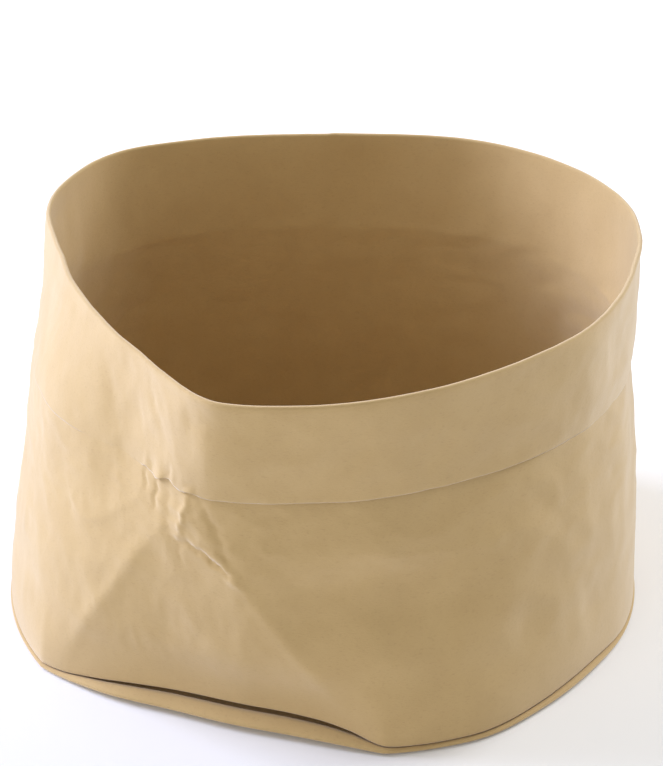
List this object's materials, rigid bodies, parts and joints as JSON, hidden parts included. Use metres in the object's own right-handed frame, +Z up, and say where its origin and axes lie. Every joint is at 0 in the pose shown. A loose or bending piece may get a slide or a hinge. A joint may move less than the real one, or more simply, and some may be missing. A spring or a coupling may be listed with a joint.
{
  "type": "paper bag with a turned-down cuff",
  "caption": "Squat open-topped kraft-paper bag with a turned-down cuff, a flat base, and a standing lip and pleat round the foot of its wall.",
  "frame": {"origin": "on the surface that the bag stands on, under the centre of its bounding box", "axes": "+Z up through the open mouth; the front panel, with its hollow, faces -Y; the sharp corner crease is at the front left, towards -X and -Y; +X to the right"},
  "size_m": [0.2092, 0.2074, 0.115],
  "materials": {
    "kraft": "uncoated kraft, matt"
  },
  "bodies": {
    "root": {"paper_bag": "kraft"}
  },
  "joints": []
}
